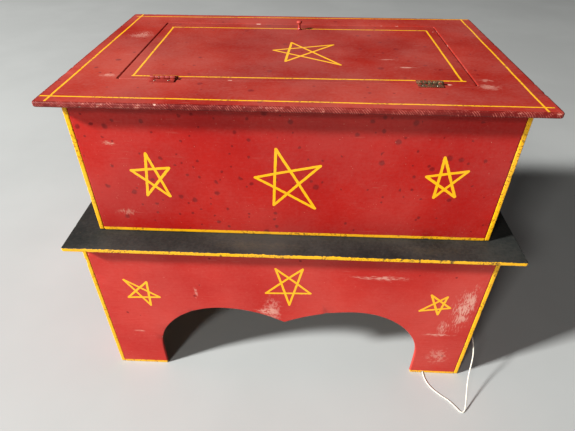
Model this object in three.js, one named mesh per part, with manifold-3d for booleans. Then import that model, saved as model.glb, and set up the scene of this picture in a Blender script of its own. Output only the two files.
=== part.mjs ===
// A stage conjuror's chest: a plywood box with a trapdoor in its overhanging top, fixed to a
// black base board, standing on a low stand with arched feet. Millimetres, +X right, +Y back, +Z up.
// The origin is on the floor, under the middle of the base board.
import * as THREE from 'three';
import { mergeVertices } from 'three/addons/utils/BufferGeometryUtils.js';
import Module from 'manifold-3d';

const wasm = await Module();
wasm.setup();

// ---- driving dimensions -------------------------------------------------------------------
const gap = 0.3; // left between faces that are glued, screwed or resting on each other
const ease = 0.6; // chamfer that sandpaper leaves on every board edge
const panelThickness = 6.5;
const blockSide = 16; // square glue blocks, rails and cleats

const standWidth = 610;
const standDepth = 398;
const standHeight = 287.7;
const standShift = -4; // the stand sits a little to the left under the base board
const blockClearance = 6; // corner blocks stop this far above the floor

const footWidth = 85; // each foot, from the outer face to the arch
const archSpring = 50; // height where a foot's inner edge starts to bend into the arch
const archRise = 156;
const doubleApex = 108; // each apex of the double arch, from the middle
const cuspHeight = 126; // the point where the two arches meet
const cuspShift = -6; // the hand-cut point is a little to the left of the middle
const shoulderRoundness = 0.55; // share of the way to the corner that an arch's handles reach

const baseThickness = 6.8;
const baseOverhang = 20; // past the stand on all four sides

const chestWidth = 568;
const chestDepth = 352;
const chestHeight = 201.5;
const cleatHeight = 12;

const topThickness = 7.2;
const topOverhang = 22; // past the chest on all four sides
const openingFrontMargin = 77; // from the top's front edge to the opening
const openingRearMargin = 55;
const openingSideMargin = 75;
const doorSideGap = 2.2;
const doorHingeGap = 1.2;
const doorRearGap = 1.5;
const ledgeReach = 12; // how far the strips under the opening's edge reach to each side of it
const ledgeThickness = 8;

const hingeLength = 32;
const hingeInset = 59; // from the door's side edge to the middle of a hinge
const leafWidth = 10.5; // from the pin's axis to the edge of a leaf
const leafThickness = 1;
const knuckleRadius = 2.3;
const knuckleCount = 5;
const knuckleGap = 0.35;
const pinRadius = 1;
const pinClearance = 0.3;
const pinHeadRadius = 1.6;
const pinHeadLength = 0.8;
const hingeScrewSpacing = 18;
const hingeScrewReach = 6.6; // from the pin's axis to the screws

const screwHeadRadius = 2.1;
const screwShankRadius = 1.1;
const screwHeadDepth = 1;
const screwLength = 6;
const holeClearance = 0.3; // round every screw, in radius
const slotWidth = 0.6;
const slotDepth = 0.5;

const baseScrewHeadRadius = 3.6;
const baseScrewShankRadius = 1.8;
const baseScrewHeadDepth = 2.4;
const baseScrewLength = 28;

const knobInset = 28; // from the door's rear edge
const knobHeight = 14;
const knobHeadRadius = 4.6;
const knobStemRadius = 2.1;
const knobFootRadius = 3.4;
const knobScrewRadius = 1.1;
const knobScrewHeadRadius = 3.4;
const knobScrewHeadDepth = 2;
const knobScrewReach = 8; // into the knob

const stringDiameter = 2;
const stringRim = 1.5; // clearance round the string in its hole and notch
const knotRadius = 3.2;

// The string's route, chosen by hand: out of the right side, down to the floor, round in a loop
// in front of the stand and back under the right foot.
const stringRoute = [
  [294.9, -169, 84], [298, -169, 84], [302, -169, 84], [306, -170, 84.1], [310, -173, 83.6],
  [312.8, -178.5, 81.5], [314, -186, 76.5], [314.2, -194, 69], [313.5, -202, 60],
  [311.2, -210, 51], [308, -218.5, 42.5], [304.8, -228, 34.2], [302.3, -238, 26],
  [300.4, -248, 18], [298.8, -257, 10.8], [297.2, -264.5, 5.4], [294.9, -270, 2.2],
  [291.3, -272.6, 1.2], [286.6, -270.2, 1.2], [280.8, -262, 1.2], [272.6, -252, 1.2],
  [261.5, -243, 1.2], [251.5, -233.5, 1.2], [244, -222.5, 1.2], [240.2, -211, 1.2],
  [239.3, -201, 1.2], [239.3, -195.8, 1.2], [239, -190, 1.2], [237.4, -183, 1.2],
  [234, -177, 1.2],
];

// ---- sizes that follow --------------------------------------------------------------------
const fit = panelThickness + gap;
const baseWidth = standWidth + 2 * baseOverhang;
const baseDepth = standDepth + 2 * baseOverhang;
const baseBottom = standHeight + gap;
const chestBottom = baseBottom + baseThickness + gap;
const chestTop = chestBottom + chestHeight;
const topBottom = chestTop + gap;
const topLevel = topBottom + topThickness;
const topWidth = chestWidth + 2 * topOverhang;
const topDepth = chestDepth + 2 * topOverhang;
const openingFront = -topDepth / 2 + openingFrontMargin;
const openingRear = topDepth / 2 - openingRearMargin;
const openingDepth = openingRear - openingFront;
const openingWidth = topWidth - 2 * openingSideMargin;
const doorWidth = openingWidth - 2 * doorSideGap;
const doorFront = openingFront + doorHingeGap;
const doorDepth = openingDepth - doorHingeGap - doorRearGap;
const pinY = openingFront + doorHingeGap / 2;
const pinZ = topLevel + gap + knuckleRadius;
const leafTop = topLevel + gap + leafThickness;

// ---- finishes -----------------------------------------------------------------------------
const finish = (color, roughness, metalness = 0) =>
  new THREE.MeshStandardMaterial({ color, roughness, metalness });
const redPaint = finish(0xb5332c, 0.55);
const topPaint = finish(0xb04138, 0.6);
const blackPaint = finish(0x35302e, 0.65);
const bareWood = finish(0xb48a5a, 0.8);
const steel = finish(0x77706a, 0.45, 0.9);
const cotton = finish(0xe9e4d6, 0.95);

// ---- tools --------------------------------------------------------------------------------
function toSolid(geometry) {
  const plain = geometry.clone();
  plain.deleteAttribute('normal');
  plain.deleteAttribute('uv');
  const merged = mergeVertices(plain, 1e-4);
  return new wasm.Manifold(new wasm.Mesh({
    numProp: 3,
    vertProperties: new Float32Array(merged.attributes.position.array),
    triVerts: new Uint32Array(merged.index.array),
  }));
}

function toGeometry(solid) {
  const mesh = solid.getMesh();
  const geometry = new THREE.BufferGeometry();
  geometry.setAttribute('position', new THREE.BufferAttribute(mesh.vertProperties, 3));
  geometry.setIndex(new THREE.BufferAttribute(mesh.triVerts, 1));
  geometry.computeVertexNormals();
  return geometry;
}

const cut = (geometry, tools) =>
  toGeometry(tools.reduce((solid, tool) => solid.subtract(toSolid(tool)), toSolid(geometry)));
const join = (geometries) =>
  toGeometry(geometries.map(toSolid).reduce((solid, other) => solid.add(other)));

function node(parent, name, geometry, material, position = [0, 0, 0], rotation = [0, 0, 0]) {
  const mesh = new THREE.Mesh(geometry, material);
  mesh.name = name;
  mesh.position.set(...position);
  mesh.rotation.set(...rotation);
  parent.add(mesh);
  return mesh;
}

function rectangle(width, depth) {
  const shape = new THREE.Shape();
  shape.moveTo(-width / 2, -depth / 2);
  shape.lineTo(width / 2, -depth / 2);
  shape.lineTo(width / 2, depth / 2);
  shape.lineTo(-width / 2, depth / 2);
  shape.closePath();
  return shape;
}

// A flat board of the outline's exact size, with its edges eased, from z = 0 to its thickness.
function board(outline, thickness) {
  const geometry = new THREE.ExtrudeGeometry(outline, {
    depth: thickness - 2 * ease,
    bevelEnabled: true,
    bevelThickness: ease,
    bevelSize: ease,
    bevelOffset: -ease,
    bevelSegments: 1,
    curveSegments: 10,
  });
  return geometry.translate(0, 0, ease);
}

// A round bar along +Z, standing on z = 0.
const bar = (radius, length, sides = 12) =>
  new THREE.CylinderGeometry(radius, radius, length, sides)
    .rotateX(Math.PI / 2)
    .translate(0, 0, length / 2);

const turned = (profile, sides) =>
  new THREE.LatheGeometry(profile.map(([r, z]) => new THREE.Vector2(r, z)), sides)
    .rotateX(Math.PI / 2);

const frontFacing = [Math.PI / 2, 0, 0]; // a board's outline stands in X-Z
const sideFacing = [Math.PI / 2, Math.PI / 2, 0]; // a board's outline stands in Y-Z
const sides = [['left', -1], ['right', 1]];
const ends = [['front', -1], ['back', 1]];

// A countersunk screw with its head's flat top at z = 0, pointing down.
function countersunkScrew(headRadius, shankRadius, headDepth, length) {
  const point = shankRadius * 1.5;
  const body = turned([
    [0, -length], [shankRadius, -length + point], [shankRadius, -headDepth],
    [headRadius, 0], [0, 0],
  ], 12);
  const slot = new THREE.BoxGeometry(headRadius * 3, slotWidth, slotDepth * 2);
  return cut(body, [slot]);
}

// The hole that such a screw sits in, with clearance all round.
function screwHole(headRadius, shankRadius, headDepth, length) {
  const over = 1;
  const slope = (headRadius - shankRadius) / headDepth;
  const c = holeClearance;
  return turned([
    [0, -length - c], [shankRadius + c, -length - c], [shankRadius + c, -headDepth],
    [headRadius + c, 0], [headRadius + c + over * slope, over], [0, over],
  ], 12);
}

// ---- the stand ----------------------------------------------------------------------------
// Half of an arch, from the foot's inner edge at x = footX up to the apex.
function shoulder(shape, footX, apexX) {
  const side = Math.sign(footX);
  const bend = archRise - archSpring;
  const reach = Math.abs(footX - apexX);
  shape.lineTo(footX, archSpring);
  shape.bezierCurveTo(
    footX, archSpring + bend * shoulderRoundness,
    apexX + side * reach * shoulderRoundness, archRise,
    apexX, archRise,
  );
}

function doubleArchOutline(width) {
  const half = width / 2;
  const footX = standWidth / 2 - footWidth;
  const shape = new THREE.Shape();
  shape.moveTo(half, 0);
  shape.lineTo(half, standHeight);
  shape.lineTo(-half, standHeight);
  shape.lineTo(-half, 0);
  shape.lineTo(-footX, 0);
  shoulder(shape, -footX, -doubleApex);
  const dip = archRise - cuspHeight;
  shape.bezierCurveTo(
    -doubleApex / 2, archRise,
    cuspShift - doubleApex / 8, cuspHeight + dip / 4,
    cuspShift, cuspHeight,
  );
  shape.bezierCurveTo(
    cuspShift + doubleApex / 8, cuspHeight + dip / 4,
    doubleApex / 2, archRise,
    doubleApex, archRise,
  );
  const bend = archRise - archSpring;
  const reach = footX - doubleApex;
  shape.bezierCurveTo(
    doubleApex + reach * shoulderRoundness, archRise,
    footX, archSpring + bend * shoulderRoundness,
    footX, archSpring,
  );
  shape.lineTo(footX, 0);
  shape.closePath();
  return shape;
}

function singleArchOutline() {
  const half = standDepth / 2;
  const footX = half - footWidth;
  const bend = archRise - archSpring;
  const shape = new THREE.Shape();
  shape.moveTo(half, 0);
  shape.lineTo(half, standHeight);
  shape.lineTo(-half, standHeight);
  shape.lineTo(-half, 0);
  shape.lineTo(-footX, 0);
  shoulder(shape, -footX, 0);
  shape.bezierCurveTo(
    footX * shoulderRoundness, archRise,
    footX, archSpring + bend * shoulderRoundness,
    footX, archSpring,
  );
  shape.lineTo(footX, 0);
  shape.closePath();
  return shape;
}

const firstPoint = stringRoute[0];
const inFrontPanel = ([, y]) => y > -standDepth / 2 && y < -standDepth / 2 + fit;
const notchPoint = stringRoute.findLast(inFrontPanel);
const stringHole = bar(stringDiameter / 2 + stringRim, 4 * panelThickness)
  .rotateY(Math.PI / 2)
  .translate(standWidth / 2 - 2 * panelThickness, firstPoint[1], firstPoint[2]);

function makeStand() {
  const stand = new THREE.Group();
  stand.position.x = standShift;
  const frontWidth = standWidth - 2 * fit;
  for (const [end, sign] of ends) {
    const y = sign < 0 ? -standDepth / 2 + panelThickness : standDepth / 2;
    let panel = board(doubleArchOutline(frontWidth), panelThickness);
    if (sign < 0 && notchPoint) {
      const notch = new THREE.BoxGeometry(
        stringDiameter + 2 * stringRim, 2 * (stringDiameter + stringRim), 4 * panelThickness);
      panel = cut(panel, [notch.translate(notchPoint[0] - standShift, 0, 0)]);
    }
    node(stand, `stand_${end}_panel`, panel, redPaint, [0, y, 0], frontFacing);
  }
  for (const [side, sign] of sides) {
    const x = sign < 0 ? -standWidth / 2 : standWidth / 2 - panelThickness;
    let panel = board(singleArchOutline(), panelThickness).rotateX(Math.PI / 2).rotateZ(Math.PI / 2);
    if (sign > 0) panel = cut(panel.translate(x, 0, 0), [stringHole]).translate(-x, 0, 0);
    node(stand, `stand_${side}_panel`, panel, redPaint, [x, 0, 0]);
  }
  const blockX = standWidth / 2 - fit - blockSide / 2;
  const blockY = standDepth / 2 - fit - blockSide / 2;
  const block = board(rectangle(blockSide, blockSide), standHeight - blockClearance);
  const acrossRail = board(rectangle(2 * blockX - blockSide - 2 * gap, blockSide), blockSide);
  const alongRail = board(rectangle(blockSide, 2 * blockY - blockSide - 2 * gap), blockSide);
  const railZ = standHeight - blockSide;
  for (const [end, back] of ends) {
    for (const [side, right] of sides) {
      node(stand, `stand_corner_block_${end}_${side}`, block, bareWood,
        [right * blockX, back * blockY, blockClearance]);
    }
    node(stand, `stand_rail_${end}`, acrossRail, bareWood, [0, back * blockY, railZ]);
  }
  for (const [side, right] of sides) {
    node(stand, `stand_rail_${side}`, alongRail, bareWood, [right * blockX, 0, railZ]);
  }
  return stand;
}

// ---- the chest ----------------------------------------------------------------------------
const cornerX = chestWidth / 2 - fit - blockSide / 2;
const cornerY = chestDepth / 2 - fit - blockSide / 2;
const eachCorner = ends.flatMap(([end, back]) =>
  sides.map(([side, right]) => ({ name: `${end}_${side}`, x: right * cornerX, y: back * cornerY })));
const baseScrewTool = (make) => eachCorner.map(({ x, y }) =>
  make(baseScrewHeadRadius, baseScrewShankRadius, baseScrewHeadDepth, baseScrewLength)
    .rotateX(Math.PI)
    .translate(x, y, baseBottom));

function makeChest() {
  const chest = new THREE.Group();
  const holes = baseScrewTool(screwHole);
  const base = board(rectangle(baseWidth, baseDepth), baseThickness).translate(0, 0, baseBottom);
  node(chest, 'base_board', cut(base, holes), blackPaint);

  const wallAcross = board(rectangle(chestWidth - 2 * fit, chestHeight), panelThickness);
  const wallAlong = board(rectangle(chestDepth, chestHeight), panelThickness);
  const wallZ = chestBottom + chestHeight / 2;
  for (const [end, back] of ends) {
    const y = back < 0 ? -chestDepth / 2 + panelThickness : chestDepth / 2;
    node(chest, `chest_${end}_panel`, wallAcross, redPaint, [0, y, wallZ], frontFacing);
  }
  for (const [side, right] of sides) {
    const x = right < 0 ? -chestWidth / 2 : chestWidth / 2 - panelThickness;
    node(chest, `chest_${side}_panel`, wallAlong, redPaint, [x, 0, wallZ], sideFacing);
  }
  const floor = board(rectangle(chestWidth - 2 * fit, chestDepth - 2 * fit), panelThickness)
    .translate(0, 0, chestBottom);
  node(chest, 'chest_floor', cut(floor, holes), bareWood);

  const blockBottom = chestBottom + panelThickness + gap;
  const block = board(rectangle(blockSide, blockSide), chestTop - blockBottom);
  const baseScrew = countersunkScrew(
    baseScrewHeadRadius, baseScrewShankRadius, baseScrewHeadDepth, baseScrewLength);
  for (const { name, x, y } of eachCorner) {
    const solid = cut(block.clone().translate(x, y, blockBottom), holes);
    node(chest, `chest_corner_block_${name}`, solid, bareWood);
    node(chest, `base_screw_${name}`, baseScrew, steel, [x, y, baseBottom], [Math.PI, 0, 0]);
  }
  const cleatZ = chestTop - cleatHeight;
  const acrossCleat = board(rectangle(2 * cornerX - blockSide - 2 * gap, blockSide), cleatHeight);
  const alongCleat = board(rectangle(blockSide, 2 * cornerY - blockSide - 2 * gap), cleatHeight);
  for (const [end, back] of ends) {
    node(chest, `chest_cleat_${end}`, acrossCleat, bareWood, [0, back * cornerY, cleatZ]);
  }
  for (const [side, right] of sides) {
    node(chest, `chest_cleat_${side}`, alongCleat, bareWood, [right * cornerX, 0, cleatZ]);
  }
  return chest;
}

// ---- the top, its trapdoor and the two hinges ---------------------------------------------
const hingeX = doorWidth / 2 - hingeInset;
const screwSpots = sides.flatMap(([side, right]) => [-1, 1].map((along, index) => ({
  name: `${side}_${index + 1}`,
  x: right * hingeX + along * hingeScrewSpacing / 2,
})));
const leafScrewHole = (x, y) =>
  screwHole(screwHeadRadius, screwShankRadius, screwHeadDepth, screwLength)
    .translate(x, y, leafTop);

function makeTop() {
  const top = new THREE.Group();
  const outline = rectangle(topWidth, topDepth);
  const opening = rectangle(openingWidth, openingDepth);
  const shift = (openingFront + openingRear) / 2;
  const moved = opening.getPoints().map((point) => point.add(new THREE.Vector2(0, shift)));
  outline.holes.push(new THREE.Path(moved));
  const pilots = screwSpots.map(({ x }) => leafScrewHole(x, pinY - hingeScrewReach));
  const plate = board(outline, topThickness).translate(0, 0, topBottom);
  node(top, 'top_board', cut(plate, pilots), topPaint);

  const ledgeZ = topBottom - gap - ledgeThickness;
  const clearOf = (edge, wall) => Math.min(edge + ledgeReach, wall - blockSide - fit - gap);
  const rearLow = openingRear - ledgeReach;
  const rearHigh = clearOf(openingRear, chestDepth / 2);
  const sideLow = openingWidth / 2 - ledgeReach;
  const sideHigh = clearOf(openingWidth / 2, chestWidth / 2);
  const sideRear = rearLow - gap;
  const sideLedge = board(rectangle(sideHigh - sideLow, sideRear - openingFront), ledgeThickness);
  const rearLedge = board(rectangle(2 * sideHigh, rearHigh - rearLow), ledgeThickness);
  for (const [side, right] of sides) {
    node(top, `door_ledge_${side}`, sideLedge, bareWood,
      [right * (sideLow + sideHigh) / 2, (openingFront + sideRear) / 2, ledgeZ]);
  }
  node(top, 'door_ledge_rear', rearLedge, bareWood, [0, (rearLow + rearHigh) / 2, ledgeZ]);
  return top;
}

function makeTrapdoor() {
  const door = new THREE.Group();
  const pilots = screwSpots.map(({ x }) => leafScrewHole(x, pinY + hingeScrewReach));
  const knobY = doorFront + doorDepth - knobInset;
  const knobHole = bar(knobScrewRadius + holeClearance, 3 * topThickness)
    .translate(0, knobY, topBottom - topThickness);
  const panel = board(rectangle(doorWidth, doorDepth), topThickness)
    .translate(0, doorFront + doorDepth / 2, topBottom);
  node(door, 'trapdoor', cut(panel, [...pilots, knobHole]), topPaint);

  const neck = knobHeight * 0.55;
  const knobBody = turned([
    [0, 0], [knobFootRadius, 0], [knobFootRadius, 0.8], [knobStemRadius, 2.6],
    [knobStemRadius, neck], [knobHeadRadius * 0.8, neck + 1.4], [knobHeadRadius, neck + 2.8],
    [knobHeadRadius * 0.92, knobHeight - 1.5], [knobHeadRadius * 0.6, knobHeight - 0.3],
    [0, knobHeight],
  ], 20);
  const knobBore = bar(knobScrewRadius + holeClearance, knobScrewReach + 1 + holeClearance)
    .translate(0, 0, -1);
  node(door, 'knob', cut(knobBody, [knobBore]), topPaint, [0, knobY, topLevel + gap]);
  const under = topBottom - gap;
  const screwEnd = topLevel + knobScrewReach;
  const headBottom = under - knobScrewHeadDepth;
  const knobScrew = turned([
    [0, headBottom], [knobScrewHeadRadius * 0.8, headBottom],
    [knobScrewHeadRadius, headBottom + 0.8], [knobScrewHeadRadius, under],
    [knobScrewRadius, under], [knobScrewRadius, screwEnd - 1.5], [0, screwEnd],
  ], 12);
  const slot = new THREE.BoxGeometry(knobScrewHeadRadius * 3, slotWidth, 2 * slotDepth);
  node(door, 'knob_screw', cut(knobScrew, [slot.translate(0, 0, headBottom)]), steel, [0, knobY, 0]);
  return door;
}

// Knuckle i of a hinge spans this stretch along the pin, measured from the hinge's middle.
function knuckleSpan(i) {
  const pitch = hingeLength / knuckleCount;
  const start = -hingeLength / 2 + i * pitch;
  const trim = knuckleGap / 2;
  return [start + (i === 0 ? 0 : trim), start + pitch - (i === knuckleCount - 1 ? 0 : trim)];
}

// One leaf about its pin: the pin's axis is X through the origin, the leaf lies towards side * Y.
function hingeLeaf(side, own) {
  const low = -knuckleRadius;
  const plateStart = knuckleRadius + knuckleGap;
  const plateWidth = leafWidth - plateStart;
  const pieces = [
    new THREE.BoxGeometry(hingeLength, plateWidth, leafThickness)
      .translate(0, side * (plateStart + plateWidth / 2), low + leafThickness / 2),
  ];
  for (const i of own) {
    const [from, to] = knuckleSpan(i);
    const length = to - from;
    const middle = (from + to) / 2;
    pieces.push(
      bar(knuckleRadius, length, 20).rotateY(Math.PI / 2).translate(from, 0, 0),
      new THREE.BoxGeometry(length, plateStart + leafThickness, leafThickness)
        .translate(middle, side * (plateStart + leafThickness) / 2, low + leafThickness / 2),
    );
  }
  const bore = bar(pinRadius + pinClearance, hingeLength + 2, 12)
    .rotateY(Math.PI / 2)
    .translate(-hingeLength / 2 - 1, 0, 0);
  const holes = [-1, 1].map((along) =>
    screwHole(screwHeadRadius, screwShankRadius, screwHeadDepth, screwLength)
      .translate(along * hingeScrewSpacing / 2, side * hingeScrewReach, low + leafThickness));
  return cut(join(pieces), [bore, ...holes]);
}

function makeHinges(top, door) {
  const fixedLeaf = hingeLeaf(-1, [0, 2, 4]);
  const movingLeaf = hingeLeaf(1, [1, 3]);
  const half = hingeLength / 2 + gap;
  const pin = turned([
    [0, -half - pinHeadLength], [pinHeadRadius, -half - pinHeadLength], [pinHeadRadius, -half],
    [pinRadius, -half], [pinRadius, half], [pinHeadRadius, half],
    [pinHeadRadius, half + pinHeadLength], [0, half + pinHeadLength],
  ], 12);
  for (const [side, right] of sides) {
    const place = [right * hingeX, pinY, pinZ];
    node(top, `hinge_${side}_fixed_leaf`, fixedLeaf, steel, place);
    node(top, `hinge_${side}_pin`, pin, steel, place, [0, Math.PI / 2, 0]);
    node(door, `hinge_${side}_moving_leaf`, movingLeaf, steel, place);
  }
  const screw = countersunkScrew(screwHeadRadius, screwShankRadius, screwHeadDepth, screwLength);
  for (const { name, x } of screwSpots) {
    node(top, `fixed_leaf_screw_${name}`, screw, steel, [x, pinY - hingeScrewReach, leafTop]);
    node(door, `moving_leaf_screw_${name}`, screw, steel, [x, pinY + hingeScrewReach, leafTop]);
  }
}

// ---- the string ---------------------------------------------------------------------------
function makeString() {
  const string = new THREE.Group();
  const path = new THREE.CatmullRomCurve3(stringRoute.map((p) => new THREE.Vector3(...p)));
  const section = new THREE.Shape();
  const sectionSides = 8;
  for (let i = 0; i < sectionSides; i += 1) {
    const angle = (2 * Math.PI * i) / sectionSides;
    const x = Math.cos(angle) * stringDiameter / 2;
    const y = Math.sin(angle) * stringDiameter / 2;
    if (i === 0) section.moveTo(x, y);
    else section.lineTo(x, y);
  }
  section.closePath();
  const tube = new THREE.ExtrudeGeometry(section, { steps: 70, extrudePath: path });
  node(string, 'pull_string', tube, cotton);

  const knot = new THREE.SphereGeometry(knotRadius, 12, 8);
  const innerFace = standShift + standWidth / 2 - panelThickness;
  node(string, 'string_stop_knot', knot, cotton,
    [innerFace - gap - knotRadius, firstPoint[1], firstPoint[2]]);
  const [endX, endY] = stringRoute[stringRoute.length - 1];
  const [beforeX, beforeY] = stringRoute[stringRoute.length - 2];
  const run = new THREE.Vector2(endX - beforeX, endY - beforeY)
    .setLength(knotRadius + gap + stringDiameter / 4);
  const knotZ = knotRadius + gap / 2;
  node(string, 'string_end_knot', knot, cotton, [endX + run.x, endY + run.y, knotZ]);
  return string;
}

// ---- assembly -----------------------------------------------------------------------------
const model = new THREE.Group();
const top = makeTop();
const door = makeTrapdoor();
makeHinges(top, door);
model.add(makeStand(), makeChest(), top, door, makeString());

export default model;
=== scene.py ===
import math
import bmesh
import bpy
import numpy as np
from mathutils import Matrix, Vector, geometry, noise


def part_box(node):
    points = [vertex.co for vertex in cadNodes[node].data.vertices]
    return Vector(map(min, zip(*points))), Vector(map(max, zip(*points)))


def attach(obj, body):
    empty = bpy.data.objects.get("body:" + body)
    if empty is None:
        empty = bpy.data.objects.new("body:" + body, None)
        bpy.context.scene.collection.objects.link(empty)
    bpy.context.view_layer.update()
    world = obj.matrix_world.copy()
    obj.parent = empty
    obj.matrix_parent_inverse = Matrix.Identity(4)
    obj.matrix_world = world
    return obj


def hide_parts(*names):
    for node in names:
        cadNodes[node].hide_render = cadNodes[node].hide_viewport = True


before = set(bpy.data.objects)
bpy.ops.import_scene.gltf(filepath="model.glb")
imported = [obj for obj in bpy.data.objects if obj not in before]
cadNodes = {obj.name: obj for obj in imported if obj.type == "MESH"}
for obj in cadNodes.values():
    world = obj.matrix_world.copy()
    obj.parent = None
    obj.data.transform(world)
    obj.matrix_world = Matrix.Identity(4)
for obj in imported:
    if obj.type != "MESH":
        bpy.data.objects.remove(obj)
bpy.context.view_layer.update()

mm = 0.001
chestBody, doorBody = "chest_on_stand", "trapdoor_leaf"
print("frame loaded:", len(cadNodes), "nodes")


# camera, lights and floor
cameraView = {
    "place": (0.0127, -0.6793, 0.7211),
    "turnRight": -2.22,  # degrees off the +Y direction
    "lookDown": 37.73,
    "roll": 0.32,
    "lens": 28.24,
}


def newObject(name, data):
    made = bpy.data.objects.new(name, data)
    bpy.context.scene.collection.objects.link(made)
    return made


def makeCamera():
    data = bpy.data.cameras.new("studioCamera")
    data.lens = cameraView["lens"]
    data.sensor_width = 36
    data.clip_start = 0.02
    camera = newObject("studioCamera", data)
    turn = Matrix.Rotation(math.radians(-cameraView["turnRight"]), 4, "Z")
    tilt = Matrix.Rotation(math.radians(90 - cameraView["lookDown"]), 4, "X")
    roll = Matrix.Rotation(math.radians(cameraView["roll"]), 4, "Z")
    camera.matrix_world = Matrix.Translation(cameraView["place"]) @ turn @ tilt @ roll
    bpy.context.scene.camera = camera


studio = {
    # name: (place, aim, size across, size up, watts, colour)
    "keyLight": ((-6.3, -2.7, 4.75), (0.0, 0.0, 0.2), 0.8, 0.8, 1370, (1.0, 0.99, 0.97)),
    "frontLight": ((-1.6, -2.9, 2.45), (0.0, 0.0, 0.2), 0.5, 0.5, 46, (1.0, 0.97, 0.93)),
    "surroundings": 0.06,
    "floorColour": (0.45, 0.465, 0.46),
}


def makeLights():
    for name, value in studio.items():
        if not name.endswith("Light"):
            continue
        place, aim, across, up, watts, colour = value
        data = bpy.data.lights.new(name, "AREA")
        data.shape = "RECTANGLE"
        data.size, data.size_y = across, up
        data.energy = watts
        data.color = colour
        light = newObject(name, data)
        light.location = place
        light.rotation_mode = "QUATERNION"
        light.rotation_quaternion = (Vector(aim) - Vector(place)).to_track_quat("-Z", "Y")
    world = bpy.data.worlds.new("studioWorld")
    world.use_nodes = True
    background = world.node_tree.nodes["Background"]
    background.inputs["Color"].default_value = (1.0, 0.985, 0.96, 1)
    background.inputs["Strength"].default_value = studio["surroundings"]
    bpy.context.scene.world = world
    bpy.context.scene.view_settings.view_transform = "Standard"


# node helpers
def addNode(tree, kind, **settings):
    node = tree.nodes.new(kind)
    for name, value in settings.items():
        setattr(node, name, value)
    return node


def feed(tree, socket, value):
    if isinstance(value, bpy.types.NodeSocket):
        tree.links.new(value, socket)
    else:
        socket.default_value = value


def calc(tree, operation, *values):
    node = addNode(tree, "ShaderNodeMath", operation=operation)
    for socket, value in zip(node.inputs, values):
        feed(tree, socket, value)
    return node.outputs[0]


def vectorCalc(tree, operation, *values):
    node = addNode(tree, "ShaderNodeVectorMath", operation=operation)
    sockets = [node.inputs[0], node.inputs["Scale"]] if operation == "SCALE" else node.inputs
    for socket, value in zip(sockets, values):
        feed(tree, socket, value)
    single = operation in ("LENGTH", "DISTANCE", "DOT_PRODUCT")
    return node.outputs["Value" if single else "Vector"]


def fade(tree, value, start, end, low=0.0, high=1.0):
    node = addNode(tree, "ShaderNodeMapRange", interpolation_type="SMOOTHSTEP")
    for name, given in (("Value", value), ("From Min", start), ("From Max", end),
                        ("To Min", low), ("To Max", high)):
        feed(tree, node.inputs[name], given)
    return node.outputs["Result"]


def noiseAt(tree, place, scale, detail=2.0, roughness=0.5, colour=False):
    node = addNode(tree, "ShaderNodeTexNoise")
    for name, value in (("Vector", place), ("Scale", scale), ("Detail", detail),
                        ("Roughness", roughness)):
        feed(tree, node.inputs[name], value)
    return node.outputs[1 if colour else 0]


def mixColour(tree, factor, first, second, blend="MIX"):
    node = addNode(tree, "ShaderNodeMix", data_type="RGBA", blend_type=blend)
    feed(tree, node.inputs[0], factor)
    feed(tree, node.inputs[6], first)
    feed(tree, node.inputs[7], second)
    return node.outputs[2]


def mixNumber(tree, factor, first, second):
    node = addNode(tree, "ShaderNodeMix", data_type="FLOAT")
    for socket, value in zip((node.inputs[0], node.inputs[2], node.inputs[3]),
                             (factor, first, second)):
        feed(tree, socket, value)
    return node.outputs[0]


def startGroup(name, inputs, outputs, kind="ShaderNodeTree"):
    group = bpy.data.node_groups.new(name, kind)
    for label, socketKind in inputs.items():
        group.interface.new_socket(label, in_out="INPUT", socket_type="NodeSocket" + socketKind)
    for label, socketKind in outputs.items():
        group.interface.new_socket(label, in_out="OUTPUT", socket_type="NodeSocket" + socketKind)
    entry = group.nodes.new("NodeGroupInput")
    leave = group.nodes.new("NodeGroupOutput")
    return group, entry.outputs, leave.inputs


def useGroup(tree, group, values):
    node = addNode(tree, "ShaderNodeGroup", node_tree=group)
    for label, value in values.items():
        feed(tree, node.inputs[label], value)
    return node.outputs


def shade(red, green, blue):
    # a screen colour, 0 to 255, as the linear colour a shader takes
    def linear(value):
        value = value / 255
        return value / 12.92 if value <= 0.04045 else ((value + 0.055) / 1.055) ** 2.4
    return (linear(red), linear(green), linear(blue), 1.0)


# shared effects, as shader node groups
def makeStrokeGroup():
    group, given, out = startGroup(
        "brushStroke",
        {"Position": "Vector", "Start": "Vector", "End": "Vector", "Width": "Float"},
        {"Gap": "Float"})
    reach = vectorCalc(group, "SUBTRACT", given["Position"], given["Start"])
    line = vectorCalc(group, "SUBTRACT", given["End"], given["Start"])
    share = calc(group, "DIVIDE", vectorCalc(group, "DOT_PRODUCT", reach, line),
                 vectorCalc(group, "DOT_PRODUCT", line, line))
    share = calc(group, "MINIMUM", calc(group, "MAXIMUM", share, 0.0), 1.0)
    away = vectorCalc(group, "DISTANCE", reach, vectorCalc(group, "SCALE", line, share))
    feed(group, out["Gap"], calc(group, "SUBTRACT", away,
                                 calc(group, "MULTIPLY", given["Width"], 0.5)))
    return group


def makeStarGroup(stroke):
    tips = [f"Tip {i}" for i in range(1, 6)]
    sockets = {"Position": "Vector", **{tip: "Vector" for tip in tips}, "Width": "Float"}
    group, given, out = startGroup("paintedStar", sockets, {"Gap": "Float"})
    nearest = None
    for i, tip in enumerate(tips):
        across = tips[(i + 2) % 5]  # each line runs to the tip after next
        gap = useGroup(group, stroke, {
            "Position": given["Position"], "Start": given[tip], "End": given[across],
            "Width": given["Width"]})["Gap"]
        nearest = gap if nearest is None else calc(group, "MINIMUM", nearest, gap)
    feed(group, out["Gap"], nearest)
    return group


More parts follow.
